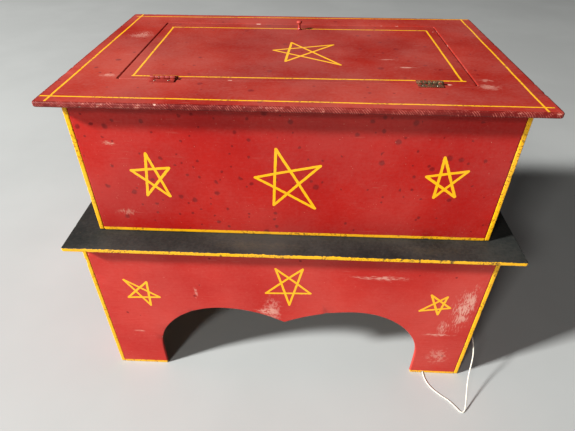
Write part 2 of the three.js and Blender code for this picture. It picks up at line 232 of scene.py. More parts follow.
def makeHandGroup():
    # a hand's unsteadiness: moves the place a little, and says how full the brush is
    group, given, out = startGroup(
        "paintingHand",
        {"Position": "Vector", "Waver": "Float", "Ragged": "Float"},
        {"Position": "Vector", "Spread": "Float", "Load": "Float"})
    slow = vectorCalc(group, "SUBTRACT", noiseAt(group, given["Position"], 16.0, 1.0, colour=True),
                      (0.5, 0.5, 0.5))
    moved = vectorCalc(group, "ADD", given["Position"],
                       vectorCalc(group, "SCALE", slow, given["Waver"]))
    feed(group, out["Position"], moved)
    ragged = calc(group, "SUBTRACT", noiseAt(group, given["Position"], 260.0, 3.0, 0.6), 0.5)
    feed(group, out["Spread"], calc(group, "MULTIPLY", ragged, given["Ragged"]))
    feed(group, out["Load"], fade(group, noiseAt(group, given["Position"], 75.0, 3.0, 0.65),
                                  0.28, 0.55))
    return group


def makeSplashGroup():
    group, given, out = startGroup(
        "splashSpots",
        {"Position": "Vector", "Flatten": "Vector", "Scale": "Float", "Share": "Float",
         "Size": "Float"},
        {"Mask": "Float"})
    bent = vectorCalc(group, "ADD", given["Position"], vectorCalc(
        group, "SCALE", noiseAt(group, given["Position"], 190.0, 2.0, colour=True), 0.003))
    cells = addNode(group, "ShaderNodeTexVoronoi")
    feed(group, cells.inputs["Vector"], vectorCalc(group, "MULTIPLY", bent, given["Flatten"]))
    feed(group, cells.inputs["Scale"], given["Scale"])
    chance = addNode(group, "ShaderNodeSeparateColor")
    feed(group, chance.inputs[0], cells.outputs["Color"])
    big = calc(group, "POWER", chance.outputs[0], 2.5)
    radius = calc(group, "MULTIPLY", given["Size"],
                  calc(group, "ADD", 0.3, calc(group, "MULTIPLY", big, 0.7)))
    offset = vectorCalc(group, "SUBTRACT", bent, cells.outputs["Position"])
    away = calc(group, "MULTIPLY", given["Scale"], vectorCalc(
        group, "LENGTH", vectorCalc(group, "MULTIPLY", offset, given["Flatten"])))
    soft = fade(group, away, radius, calc(group, "MULTIPLY", radius, 0.45))
    crowd = fade(group, noiseAt(group, given["Position"], 5.0, 2.0), 0.35, 0.62, 0.35, 1.3)
    kept = calc(group, "LESS_THAN", chance.outputs[1],
                calc(group, "MULTIPLY", given["Share"], crowd))
    feed(group, out["Mask"], calc(group, "MULTIPLY", soft, kept))
    return group


def makeScuffGroup():
    # a rubbed patch: fine scratches that thin out towards its rim
    group, given, out = startGroup(
        "scuffPatch",
        {"Position": "Vector", "Middle": "Vector", "Size": "Vector", "Stretch": "Vector",
         "Strength": "Float"},
        {"Mask": "Float"})
    offset = vectorCalc(group, "DIVIDE",
                        vectorCalc(group, "SUBTRACT", given["Position"], given["Middle"]),
                        given["Size"])
    core = fade(group, vectorCalc(group, "LENGTH", offset), 1.0, 0.1)
    drawn = vectorCalc(group, "MULTIPLY", given["Position"], given["Stretch"])
    lines = noiseAt(group, drawn, 170.0, 4.0, 0.7)
    patchy = noiseAt(group, given["Position"], 60.0, 3.0, 0.6)
    level = calc(group, "ADD", mixNumber(group, 0.3, lines, patchy),
                 calc(group, "MULTIPLY", core, 0.14))
    mask = fade(group, level, 0.55, 0.68)
    feed(group, out["Mask"], calc(group, "MULTIPLY", calc(group, "MULTIPLY", mask, core),
                                  given["Strength"]))
    return group


def makeEdgeGroup():
    # how far a board's edges are rubbed through, from the board's own edge attribute
    group, given, out = startGroup(
        "edgeWear",
        {"Position": "Vector", "Edge": "Vector", "Amount": "Float", "Plies": "Float"},
        {"Rub": "Float", "Chip": "Float", "Ply": "Float"})
    parts = addNode(group, "ShaderNodeSeparateXYZ")
    feed(group, parts.inputs[0], given["Edge"])
    rough = noiseAt(group, given["Position"], 130.0, 4.0, 0.7)
    patch = noiseAt(group, given["Position"], 22.0, 2.0)
    level = calc(group, "ADD", calc(group, "MULTIPLY", parts.outputs[0], 0.42),
                 calc(group, "ADD", calc(group, "MULTIPLY", rough, 0.55),
                      calc(group, "MULTIPLY", patch, 0.35)))
    start = calc(group, "SUBTRACT", 1.12, calc(group, "MULTIPLY", given["Amount"], 0.35))
    rub = calc(group, "MULTIPLY", fade(group, level, start, calc(group, "ADD", start, 0.07)),
               fade(group, parts.outputs[0], 0.0, 0.25))
    feed(group, out["Rub"], rub)
    feed(group, out["Chip"], fade(group, parts.outputs[2], 0.4, 0.8))
    layers = calc(group, "PINGPONG", calc(group, "MULTIPLY", parts.outputs[1], given["Plies"]), 1.0)
    feed(group, out["Ply"], fade(group, layers, 0.3, 0.7))
    return group


def makeGrainGroup():
    # long grain drawn out along one direction, with darker late wood and small pores
    group, given, out = startGroup(
        "woodGrain", {"Position": "Vector", "Stretch": "Vector"},
        {"Tone": "Float", "Pores": "Float"})
    drawn = vectorCalc(group, "MULTIPLY", given["Position"], given["Stretch"])
    broad = noiseAt(group, drawn, 9.0, 3.0, 0.55)
    rings = calc(group, "PINGPONG", calc(group, "MULTIPLY", broad, 9.0), 1.0)
    fine = noiseAt(group, drawn, 150.0, 3.0, 0.6)
    tone = calc(group, "ADD", calc(group, "MULTIPLY", fade(group, rings, 0.1, 0.95), 0.6),
                calc(group, "MULTIPLY", fine, 0.4))
    feed(group, out["Tone"], tone)
    feed(group, out["Pores"], fade(group, noiseAt(group, drawn, 420.0, 2.0, 0.5), 0.62, 0.72))
    return group


def makeDustGroup():
    group, given, out = startGroup(
        "settledDust", {"Position": "Vector", "Amount": "Float"}, {"Mask": "Float", "Specks": "Float"})
    cloud = noiseAt(group, given["Position"], 7.0, 4.0, 0.6)
    fine = noiseAt(group, given["Position"], 240.0, 3.0, 0.7)
    level = calc(group, "ADD", calc(group, "MULTIPLY", cloud, 0.7), calc(group, "MULTIPLY", fine, 0.3))
    feed(group, out["Mask"], calc(group, "MULTIPLY", fade(group, level, 0.36, 0.66), given["Amount"]))
    feed(group, out["Specks"], fade(group, noiseAt(group, given["Position"], 520.0, 2.0, 0.5),
                                    0.74, 0.78))
    return group


strokeGroup = makeStrokeGroup()
starGroup = makeStarGroup(strokeGroup)
handGroup = makeHandGroup()
splashGroup = makeSplashGroup()
scuffGroup = makeScuffGroup()
edgeGroup = makeEdgeGroup()
grainGroup = makeGrainGroup()
dustGroup = makeDustGroup()
print("shader groups made")


# paint, metal and wood
yellowLine = shade(253, 187, 4)

redLook = {
    "body": shade(182, 24, 14),
    "deep": shade(166, 14, 8),
    "faded": shade(200, 44, 32),
    "line": yellowLine,
    "spot": shade(126, 5, 8),
    "crack": shade(96, 48, 10),
    "under": shade(120, 52, 34),  # what shows where the paint is rubbed through
    "chip": shade(214, 170, 148),
    "dust": shade(222, 190, 178),
    "flatten": (1, 0, 1),  # drops the axis through the board, so that the spots lie on its face
    "spotScale": 60.0,
    "spotShare": 0.12,
    "spotSize": 0.36,
    "scratchRun": (0.3, 7.0, 7.0),
    "scratched": 0.14,
    "lineWear": 0.7,
    "dustAmount": 0.05,
    "edgeAmount": 0.35,
    "fadeAmount": 0.22,
    "grain": (1.0, 10.0, 10.0),  # a brush mark runs along the axis with the small number
    "roughness": (0.42, 0.62),
    "waver": 0.0016,
    "ragged": 0.0012,
    "coat": 0.0,
    "gloss": 0.22,
}


def newMaterial(name):
    material = bpy.data.materials.new(name)
    material.use_nodes = True
    tree = material.node_tree
    surface = tree.nodes["Principled BSDF"]
    place = addNode(tree, "ShaderNodeTexCoord").outputs["Object"]
    return material, tree, surface, place


def finishSurface(tree, surface, colour, rough, height, distance, strength=1.0):
    bump = addNode(tree, "ShaderNodeBump")
    bump.inputs["Distance"].default_value = distance
    bump.inputs["Strength"].default_value = strength
    feed(tree, bump.inputs["Height"], height)
    feed(tree, surface.inputs["Base Color"], colour)
    feed(tree, surface.inputs["Roughness"], rough)
    feed(tree, surface.inputs["Normal"], bump.outputs["Normal"])


def drawnGap(tree, hand, lines, stars):
    # distance outside the nearest painted line, below 0 on the paint
    nearest = None
    for start, end, width in lines:
        values = {"Position": hand["Position"], "Start": start, "End": end, "Width": width}
        gap = useGroup(tree, strokeGroup, values)["Gap"]
        nearest = gap if nearest is None else calc(tree, "MINIMUM", nearest, gap)
    for tips, width in stars:
        values = {"Position": hand["Position"], "Width": width}
        values.update({f"Tip {i + 1}": tip for i, tip in enumerate(tips)})
        gap = useGroup(tree, starGroup, values)["Gap"]
        nearest = gap if nearest is None else calc(tree, "MINIMUM", nearest, gap)
    return nearest


lineEdge = 0.3 * mm  # how softly a painted line ends


def inkedWhere(tree, gap):
    return fade(tree, gap, lineEdge, -lineEdge)


def paintedWood(name, look, lines=(), stars=(), scuffs=()):
    material, tree, surface, place = newMaterial(name)
    drawn = vectorCalc(tree, "MULTIPLY", place, look["grain"])
    brush = noiseAt(tree, drawn, 55.0, 4.0, 0.6)
    cloud = noiseAt(tree, place, 6.0, 4.0, 0.55)
    colour = mixColour(tree, fade(tree, cloud, 0.35, 0.7), look["deep"], look["body"])
    colour = mixColour(tree, fade(tree, brush, 0.42, 0.72, 0.0, 0.30), colour, look["deep"])
    bleach = fade(tree, noiseAt(tree, place, 3.2, 5.0, 0.6), 0.4, 0.72, 0.0, look["fadeAmount"])
    colour = mixColour(tree, bleach, colour, look["faded"])
    rough = fade(tree, brush, 0.3, 0.7, *look["roughness"])
    height = calc(tree, "MULTIPLY", brush, 0.35)

    spots = useGroup(tree, splashGroup, {
        "Position": place, "Flatten": look["flatten"], "Scale": look["spotScale"],
        "Share": look["spotShare"], "Size": look["spotSize"]})["Mask"]
    colour = mixColour(tree, calc(tree, "MULTIPLY", spots, 0.9), colour, look["spot"])
    rough = mixNumber(tree, spots, rough, 0.7)

    if lines or stars:
        hand = useGroup(tree, handGroup, {
            "Position": place, "Waver": look["waver"], "Ragged": look["ragged"]})
        gap = calc(tree, "ADD", drawnGap(tree, hand, lines, stars), hand["Spread"])
        inked = inkedWhere(tree, gap)
        striped = inkedWhere(tree, drawnGap(tree, hand, lines, ())) if lines else 0.0
        thin = calc(tree, "MULTIPLY", inked, fade(tree, hand["Load"], 0.0, 1.0, 0.9, 1.0))
        colour = mixColour(tree, thin, colour, look["line"])
        cracks = fade(tree, noiseAt(tree, place, 360.0, 3.0, 0.65), 0.53, 0.60)
        patchy = fade(tree, noiseAt(tree, place, 30.0, 2.0), 0.36, 0.60)
        cracks = calc(tree, "MULTIPLY", calc(tree, "MULTIPLY", cracks, patchy), striped)
        colour = mixColour(tree, calc(tree, "MULTIPLY", cracks, look["lineWear"]), colour,
                           look["crack"])
        rough = mixNumber(tree, inked, rough, 0.42)
        height = calc(tree, "ADD", height, calc(tree, "MULTIPLY", inked, 0.5))

    run = vectorCalc(tree, "MULTIPLY", place, look["scratchRun"])
    scratches = fade(tree, noiseAt(tree, run, 100.0, 2.0), 0.69, 0.75, 0.0, look["scratched"])
    dust = useGroup(tree, dustGroup, {"Position": place, "Amount": look["dustAmount"]})
    pale = calc(tree, "MAXIMUM", scratches, calc(tree, "MULTIPLY", dust["Specks"], 0.5))
    colour = mixColour(tree, pale, colour, look["chip"])
    colour = mixColour(tree, dust["Mask"], colour, look["dust"])
    rough = mixNumber(tree, dust["Mask"], rough, 0.85)

    edge = addNode(tree, "ShaderNodeAttribute", attribute_name="boardEdge").outputs["Vector"]
    wear = useGroup(tree, edgeGroup, {
        "Position": place, "Edge": edge, "Amount": look["edgeAmount"], "Plies": 5.0})
    under = mixColour(tree, wear["Ply"], look["under"],
                      mixColour(tree, 0.5, look["under"], look["chip"]))
    colour = mixColour(tree, calc(tree, "MULTIPLY", wear["Rub"], 0.85), colour, under)
    colour = mixColour(tree, calc(tree, "MULTIPLY", wear["Chip"], 0.9), colour, look["chip"])
    rough = mixNumber(tree, wear["Rub"], rough, 0.8)
    height = calc(tree, "SUBTRACT", height, calc(tree, "MULTIPLY", wear["Rub"], 0.5))

    if "hatch" in look:
        # slanting tool marks, worn pale on their crests
        uneven = vectorCalc(tree, "SCALE", noiseAt(tree, place, 60.0, 2.0, colour=True), 0.0035)
        wave = calc(tree, "SINE", vectorCalc(
            tree, "DOT_PRODUCT", vectorCalc(tree, "ADD", place, uneven), look["hatch"]))
        broken = fade(tree, noiseAt(tree, place, 150.0, 4.0, 0.7), 0.42, 0.62)
        crest = calc(tree, "MULTIPLY", fade(tree, wave, 0.0, 0.9), broken)
        colour = mixColour(tree, calc(tree, "MULTIPLY", crest, 0.6), colour, look["hatched"])
        height = calc(tree, "ADD", height, calc(tree, "MULTIPLY", crest, 0.3))

    for middle, size, stretch, strength in scuffs:
        patch = useGroup(tree, scuffGroup, {
            "Position": place, "Middle": middle, "Size": size, "Stretch": stretch,
            "Strength": strength})["Mask"]
        colour = mixColour(tree, patch, colour, look["chip"])
        rough = mixNumber(tree, patch, rough, 0.8)

    finishSurface(tree, surface, colour, rough, height, 0.4 * mm, 0.5)
    surface.inputs["Coat Weight"].default_value = look["coat"]
    surface.inputs["Specular IOR Level"].default_value = look["gloss"]
    return material


woodLook = {
    "light": shade(206, 170, 124),
    "dark": shade(160, 116, 74),
    "pore": shade(104, 70, 44),
    "grime": shade(96, 76, 58),
    "along": 1.0,
    "across": 14.0,
    "roughness": (0.6, 0.85),
}


def bareWood(name, axis, look=woodLook):
    material, tree, surface, place = newMaterial(name)
    stretch = [look["across"]] * 3
    stretch[axis] = look["along"]
    grain = useGroup(tree, grainGroup, {"Position": place, "Stretch": stretch})
    colour = mixColour(tree, grain["Tone"], look["dark"], look["light"])
    colour = mixColour(tree, calc(tree, "MULTIPLY", grain["Pores"], 0.7), colour, look["pore"])
    grime = fade(tree, noiseAt(tree, place, 8.0, 5.0, 0.65), 0.45, 0.75, 0.0, 0.45)
    colour = mixColour(tree, grime, colour, look["grime"])
    edge = addNode(tree, "ShaderNodeAttribute", attribute_name="boardEdge").outputs["Vector"]
    plies = useGroup(tree, edgeGroup, {"Position": place, "Edge": edge, "Amount": 1.0, "Plies": 5.0})
    colour = mixColour(tree, calc(tree, "MULTIPLY", plies["Ply"], 0.35), colour, look["pore"])
    rough = fade(tree, grain["Tone"], 0.2, 0.8, *look["roughness"])
    height = calc(tree, "SUBTRACT", grain["Tone"], grain["Pores"])
    finishSurface(tree, surface, colour, rough, height, 0.3 * mm, 0.6)
    return material


metalLooks = {
    "paintedHinge": {
        "metal": shade(120, 104, 88),
        "rust": shade(92, 40, 26),
        "cover": shade(152, 40, 30),
        "covered": 0.84,  # share still under the red paint
        "roughness": 0.45,
    },
    "chippedHinge": {
        "metal": shade(150, 136, 104),
        "rust": shade(34, 26, 20),
        "cover": shade(128, 34, 26),
        "covered": 0.42,
        "roughness": 0.45,
    },
    "agedScrew": {
        "metal": shade(150, 142, 128),
        "rust": shade(98, 62, 40),
        "cover": shade(120, 44, 34),
        "covered": 0.25,
        "roughness": 0.38,
    },
}


def agedMetal(name, look, lines=()):
    material, tree, surface, place = newMaterial(name)
    flakes = noiseAt(tree, place, 330.0, 4.0, 0.65)
    limit = 0.5 + (look["covered"] - 0.5) * 0.4
    cover = fade(tree, flakes, limit + 0.03, limit - 0.03)
    rust = fade(tree, noiseAt(tree, place, 700.0, 3.0, 0.7), 0.48, 0.62, 0.0, 0.8)
    colour = mixColour(tree, rust, look["metal"], look["rust"])
    colour = mixColour(tree, cover, colour, look["cover"])
    if lines:
        gap = drawnGap(tree, {"Position": place}, lines, ())
        inked = calc(tree, "MULTIPLY", inkedWhere(tree, gap), cover)
        colour = mixColour(tree, inked, colour, yellowLine)
    bareShare = calc(tree, "MULTIPLY", calc(tree, "SUBTRACT", 1.0, cover),
                     calc(tree, "SUBTRACT", 1.0, rust))
    feed(tree, surface.inputs["Metallic"], bareShare)
    rough = mixNumber(tree, bareShare, 0.6, look["roughness"])
    finishSurface(tree, surface, colour, rough, cover, 0.2 * mm, 0.6)
    return material


cottonLook = {
    "thread": shade(250, 246, 234),
    "hollow": shade(214, 206, 188),
    # colour of the painted shade in the hollows between the fibres
    "soiled": shade(206, 192, 168),
}


def cotton(name, look=cottonLook):
    material, tree, surface, place = newMaterial(name)
    fibres = noiseAt(tree, place, 1600.0, 3.0, 0.7)
    soil = fade(tree, noiseAt(tree, place, 34.0, 3.0, 0.6), 0.5, 0.75, 0.0, 0.5)
    # darker where the fibre bump is low: painted shade in the hollows between fibres
    colour = mixColour(tree, fade(tree, fibres, 0.35, 0.6), look["hollow"], look["thread"])
    colour = mixColour(tree, soil, colour, look["soiled"])
    rough = fade(tree, fibres, 0.2, 0.8, 0.8, 0.95)
    finishSurface(tree, surface, colour, rough, fibres, 0.15 * mm)
    surface.inputs["Sheen Weight"].default_value = 0.25
    return material


def makeFloor():
    material, tree, surface, place = newMaterial("paleFloor")
    mottled = noiseAt(tree, place, 2.2, 4.0, 0.55)
    pale = (*studio["floorColour"], 1)
    dull = (*(value * 0.93 for value in studio["floorColour"]), 1)
    feed(tree, surface.inputs["Base Color"],
         mixColour(tree, fade(tree, mottled, 0.35, 0.7), dull, pale))
    surface.inputs["Roughness"].default_value = 0.6
    mesh = bpy.data.meshes.new("studioFloor")
    reach = 8.0
    mesh.from_pydata([(-reach, -reach, 0), (reach, -reach, 0), (reach, reach, 0), (-reach, reach, 0)],
                     [], [(0, 1, 2, 3)])
    mesh.materials.append(material)
    newObject("studioFloor", mesh)


def newPiece(name, mesh, materials, body, replaced=()):
    for material in materials:
        mesh.materials.append(material)
    piece = newObject(name, mesh)
    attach(piece, body)
    if replaced:
        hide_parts(*replaced)
    return piece


makeCamera()
makeLights()
makeFloor()
print("camera, lights and floor made")


# the pull string and its knots
pullString = {
    "diameter": 2 * mm,
    "drawnDiameter": 2.3 * mm,  # over the loose fibres
    "strandShare": 0.62,  # a strand's width against the string's
    "turnLength": 7 * mm,  # along the string for one full twist
    "step": 0.8 * mm,
    "exit": (0.301, -0.169, 0.084),
    "knotLoops": 3.2 * mm,
}
# millimetres: out of the stand's right side, down to the floor, round in a loop in front of the
# stand and back under the right foot
stringRoute = [
    (294.9, -169, 84), (298, -169, 84), (302, -169, 84), (306, -170, 84.1), (310, -173, 83.6),
    (312.8, -178.5, 81.5), (314, -186, 76.5), (314.2, -194, 69), (313.5, -202, 60),
    (311.2, -210, 51), (308, -218.5, 42.5), (304.8, -228, 34.2), (302.3, -238, 26),
    (300.4, -248, 18), (298.8, -257, 10.8), (297.2, -264.5, 5.4), (294.9, -270, 2.2),
    (291.3, -272.6, 1.2), (286.6, -270.2, 1.2), (280.8, -262, 1.2), (272.6, -252, 1.2),
    (261.5, -243, 1.2), (251.5, -233.5, 1.2), (244, -222.5, 1.2), (240.2, -211, 1.2),
    (239.3, -201, 1.2), (239.3, -195.8, 1.2), (239, -190, 1.2), (237.4, -183, 1.2),
    (234, -177, 1.2),
]


def smoothPath(points, step):
    # a Catmull-Rom curve through the points, sampled about every step
    ends = [2 * points[0] - points[1], *points, 2 * points[-1] - points[-2]]
    path = []
    for a, b, c, d in zip(ends, ends[1:], ends[2:], ends[3:]):
        count = max(2, round((c - b).length / step))
        for i in range(count):
            t = i / count
            path.append(0.5 * (2 * b + (c - a) * t + (2 * a - 5 * b + 4 * c - d) * t ** 2
                               + (3 * b - a - 3 * c + d) * t ** 3))
    path.append(points[-1])
    return path


def movedBy(tree, shape, shift):
    node = addNode(tree, "GeometryNodeTransform")
    feed(tree, node.inputs["Geometry"], shape)
    feed(tree, node.inputs["Translation"], shift)
    return node.outputs[0]


def joinedFrom(tree, shapes):
    node = addNode(tree, "GeometryNodeJoinGeometry")
    for shape in shapes:
        feed(tree, node.inputs[0], shape)
    return node.outputs[0]


def combined(tree, x=0.0, y=0.0, z=0.0):
    node = addNode(tree, "ShaderNodeCombineXYZ")
    for socket, value in zip(node.inputs, (x, y, z)):
        feed(tree, socket, value)
    return node.outputs[0]


def tubeAlong(tree, curve, profile):
    node = addNode(tree, "GeometryNodeCurveToMesh")
    node.inputs["Fill Caps"].default_value = True
    feed(tree, node.inputs["Curve"], curve)
    feed(tree, node.inputs["Profile Curve"], profile)
    return node.outputs[0]


def finishTree(tree, shape, material, result):
    whole = addNode(tree, "GeometryNodeRealizeInstances")
    feed(tree, whole.inputs[0], shape)
    painted = addNode(tree, "GeometryNodeSetMaterial")
    feed(tree, painted.inputs["Geometry"], whole.outputs[0])
    feed(tree, painted.inputs["Material"], material)
    feed(tree, result, painted.outputs[0])


def makeStringTree():
    tree, given, out = startGroup(
        "twistedString",
        {"Curve": "Geometry", "String Diameter": "Float", "Strand Share": "Float",
         "Turn Length": "Float", "Thread": "Material"},
        {"String": "Geometry"}, "GeometryNodeTree")
    along = addNode(tree, "GeometryNodeSplineParameter").outputs["Length"]
    turns = calc(tree, "MULTIPLY", calc(tree, "DIVIDE", along, given["Turn Length"]), 2 * math.pi)
    tilted = addNode(tree, "GeometryNodeSetCurveTilt")
    feed(tree, tilted.inputs["Curve"], given["Curve"])
    feed(tree, tilted.inputs["Tilt"], turns)
    strandRadius = calc(tree, "MULTIPLY", calc(
        tree, "MULTIPLY", given["String Diameter"], given["Strand Share"]), 0.5)
    offset = calc(tree, "SUBTRACT", calc(tree, "MULTIPLY", given["String Diameter"], 0.5),
                  strandRadius)
    strands = []
    for i in range(3):
        circle = addNode(tree, "GeometryNodeCurvePrimitiveCircle")
        circle.inputs["Resolution"].default_value = 9
        feed(tree, circle.inputs["Radius"], strandRadius)
        angle = 2 * math.pi * i / 3
        shift = vectorCalc(tree, "SCALE", (math.cos(angle), math.sin(angle), 0.0), offset)
        strands.append(movedBy(tree, circle.outputs["Curve"], shift))
    tube = tubeAlong(tree, tilted.outputs["Curve"], joinedFrom(tree, strands))
    finishTree(tree, tube, given["Thread"], out["String"])
    return tree


def setInputs(modifier, tree, values):
    for item in tree.interface.items_tree:
        if item.in_out == "INPUT" and item.name in values:
            modifier[item.identifier] = values[item.name]


def meshFromTree(name, source, tree, values):
    # runs a tree on an object and gives the result as a plain mesh
    modifier = source.modifiers.new("build", "NODES")
    modifier.node_group = tree
    setInputs(modifier, tree, values)
    bpy.context.view_layer.update()
    evaluated = source.evaluated_get(bpy.context.evaluated_depsgraph_get())
    mesh = bpy.data.meshes.new_from_object(evaluated)
    mesh.name = name
    mesh.materials.clear()
    bpy.data.objects.remove(source)
    return mesh


def curveObject(name, path):
    data = bpy.data.curves.new(name, "CURVE")
    data.dimensions = "3D"
    spline = data.splines.new("POLY")
    spline.points.add(len(path) - 1)
    for point, place in zip(spline.points, path):
        point.co = (*place, 1)
    return newObject(name, data)


def smoothShaded(mesh):
    mesh.polygons.foreach_set("use_smooth", [True] * len(mesh.polygons))
    mesh.update()
    return mesh


def facesOut(mesh):
    work = bmesh.new()
    work.from_mesh(mesh)
    bmesh.ops.remove_doubles(work, verts=work.verts, dist=1e-6)
    bmesh.ops.recalc_face_normals(work, faces=work.faces)
    work.to_mesh(mesh)
    work.free()
    return mesh


def twistedMesh(name, path, thread, tree):
    mesh = meshFromTree(name, curveObject(name + "Path", path), tree, {
        "String Diameter": pullString["drawnDiameter"], "Strand Share": pullString["strandShare"],
        "Turn Length": pullString["turnLength"], "Thread": thread})
    return smoothShaded(facesOut(mesh))


def makeKnot(name, node, thread, tree, lean):
    low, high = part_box(node)
    middle = (low + high) / 2
    reach = pullString["knotLoops"] - pullString["drawnDiameter"] / 2
    turns = 96
    path = []
    for i in range(turns + 1):
        t = 2 * math.pi * i / turns
        loop = Vector((math.sin(t) + 2 * math.sin(2 * t), math.cos(t) - 2 * math.cos(2 * t),
                       -1.6 * math.sin(3 * t)))
        path.append(middle + (Matrix.Rotation(lean, 3, "X") @ loop) * reach / 3)
    mesh = twistedMesh(name, path, thread, tree)
    return newPiece(name, mesh, [thread], chestBody, [node])


def makeString():
    thread = cotton("cottonThread")
    tree = makeStringTree()
    points = [Vector(place) * mm for place in stringRoute]
    path = smoothPath(points, pullString["step"])
    mesh = twistedMesh("pullString", path, thread, tree)
    string = newPiece("pullString", mesh, [thread], chestBody, ["pull_string"])
    stopKnot = makeKnot("stopKnot", "string_stop_knot", thread, tree, 1.2)
    endKnot = makeKnot("endKnot", "string_end_knot", thread, tree, 0.2)


makeString()


# boards: each is cut to its node's own outline, with softened, dented edges
def loopsThrough(node, axis):
    # closed outlines where a plane cuts the node halfway through its thickness
    work = bmesh.new()
    work.from_mesh(cadNodes[node].data)
    bmesh.ops.remove_doubles(work, verts=work.verts, dist=1e-5)
    low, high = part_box(node)
    normal = Vector((0, 0, 0))
    normal[axis] = 1
    everything = work.verts[:] + work.edges[:] + work.faces[:]
    cut = bmesh.ops.bisect_plane(work, geom=everything, plane_co=(low + high) / 2,
                                 plane_no=normal, dist=1e-7)["geom_cut"]
    across, up = (axis + 1) % 3, (axis + 2) % 3
    neighbours = {}
    for edge in cut:
        if isinstance(edge, bmesh.types.BMEdge):
            first, second = edge.verts
            neighbours.setdefault(first, []).append(second)
            neighbours.setdefault(second, []).append(first)
    loops = []
    unused = set(neighbours)
    while unused:
        here = min(unused, key=lambda vert: tuple(vert.co))
        loop = []
        while here is not None:
            unused.discard(here)
            loop.append(Vector((here.co[across], here.co[up])))
            here = next((vert for vert in neighbours[here] if vert in unused), None)
        loops.append(withoutStraightPoints(loop))
    work.free()
    loops.sort(key=lambda loop: -abs(signedArea(loop)))
    for i, loop in enumerate(loops):
        if (signedArea(loop) > 0) != (i == 0):
            loop.reverse()
    return loops


def signedArea(loop):
    return sum(a.x * b.y - b.x * a.y for a, b in zip(loop, loop[1:] + loop[:1])) / 2


def turnAt(before, here, after):
    return (here - before).angle_signed(after - here, 0)


def withoutStraightPoints(loop):
    kept = []
    count = len(loop)
    for i, here in enumerate(loop):
        if abs(turnAt(loop[i - 1], here, loop[(i + 1) % count])) > math.radians(0.3):
            kept.append(here)
    return kept


def resampled(loop, step, corner):
    # rounds the sharp corners, keeps the curves smooth and puts a point about every step
    count = len(loop)
    sharp = [abs(turnAt(loop[i - 1], loop[i], loop[(i + 1) % count])) > math.radians(25)
             for i in range(count)]
    lean = []
    for i, here in enumerate(loop):
        lean.append(((here - loop[i - 1]) + (loop[(i + 1) % count] - here)).normalized())
    points, limits = [], []
    for i, here in enumerate(loop):
        after = loop[(i + 1) % count]
        span = after - here
        length = span.length
        direction = span / length
        startTrim = min(corner, length / 2.2) if sharp[i] else 0
        endTrim = min(corner, length / 2.2) if sharp[(i + 1) % count] else 0
        if sharp[i]:
            back = (loop[i - 1] - here).normalized()
            backTrim = min(corner, (loop[i - 1] - here).length / 2.2)
            outward = turnAt(loop[i - 1], here, after) < 0
            for t in (0.0, 0.25, 0.5, 0.75):
                a, b = here + back * backTrim, here + direction * startTrim
                points.append(a * (1 - t) ** 2 + here * 2 * t * (1 - t) + b * t * t)
                limits.append(0.6 * min(backTrim, startTrim) if outward else corner)
        begin = here + direction * startTrim
        finish = after - direction * endTrim
        startLean = direction if sharp[i] else lean[i]
        endLean = direction if sharp[(i + 1) % count] else lean[(i + 1) % count]
        reach = (finish - begin).length
        pieces = max(1, round(reach / step))
        for k in range(pieces):
            t = k / pieces
            points.append(begin * (2 * t ** 3 - 3 * t * t + 1) + finish * (3 * t * t - 2 * t ** 3)
                          + startLean * reach * (t ** 3 - 2 * t * t + t)
                          + endLean * reach * (t ** 3 - t * t))
            limits.append(corner)
    return points, limits


def inwardDirections(loop):
    directions = []
    count = len(loop)
    for i, here in enumerate(loop):
        first = (here - loop[i - 1]).normalized()
        second = (loop[(i + 1) % count] - here).normalized()
        left = Vector((-first.y - second.y, first.x + second.x))
        left.normalize()
        directions.append(left / max(0.6, left.dot(Vector((-first.y, first.x)))))
    return directions


def insideLoops(points, loops):
    # even-odd test of many points at once
    inside = np.zeros(len(points), bool)
    for loop in loops:
        ring = np.array(loop)
        following = np.roll(ring, -1, axis=0)
        for (ax, ay), (bx, by) in zip(ring, following):
            if ay == by:
                continue
            crossed = (points[:, 1] < ay) != (points[:, 1] < by)
            at = ax + (points[:, 1] - ay) * (bx - ax) / (by - ay)
            inside ^= crossed & (points[:, 0] < at)
    return inside


def edgeStations(thickness, rounding, border, plies):
    # (inward, depth, rim) round the edge, from one flat face to the other
    half = [(border, 0.0, 0.0)]
    for degrees in (0, 30, 60, 90):
        a = math.radians(degrees)
        half.append((rounding * (1 - math.sin(a)), rounding * (1 - math.cos(a)), 1.0))
    stations = list(half)
    straight = thickness - 2 * rounding
    for i in range(1, plies):
        stations.append((0.0, rounding + straight * i / plies, 1.0))
    stations += [(inward, thickness - depth, rim) for inward, depth, rim in reversed(half)]
    return stations


boardStyle = {
    "step": 4 * mm,
    "corner": 2.6 * mm,
    "rounding": 1.1 * mm,
    "border": 2.2 * mm,
    "gridStep": 22 * mm,
    "plies": 4,
    "hollow": 0.22 * mm,  # how far the faces dip below flat
    "dent": 0.18 * mm,
    "chip": 0.9 * mm,
    "chipFrom": 0.42,  # chips start where the noise is above this
}
holeStyle = {"rounding": 0.25 * mm, "border": 0.7 * mm}
openingStyle = {"rounding": 0.8 * mm, "border": 1.6 * mm, "corner": 2 * mm, "dent": 0.05 * mm,
                "chip": 0.25 * mm}


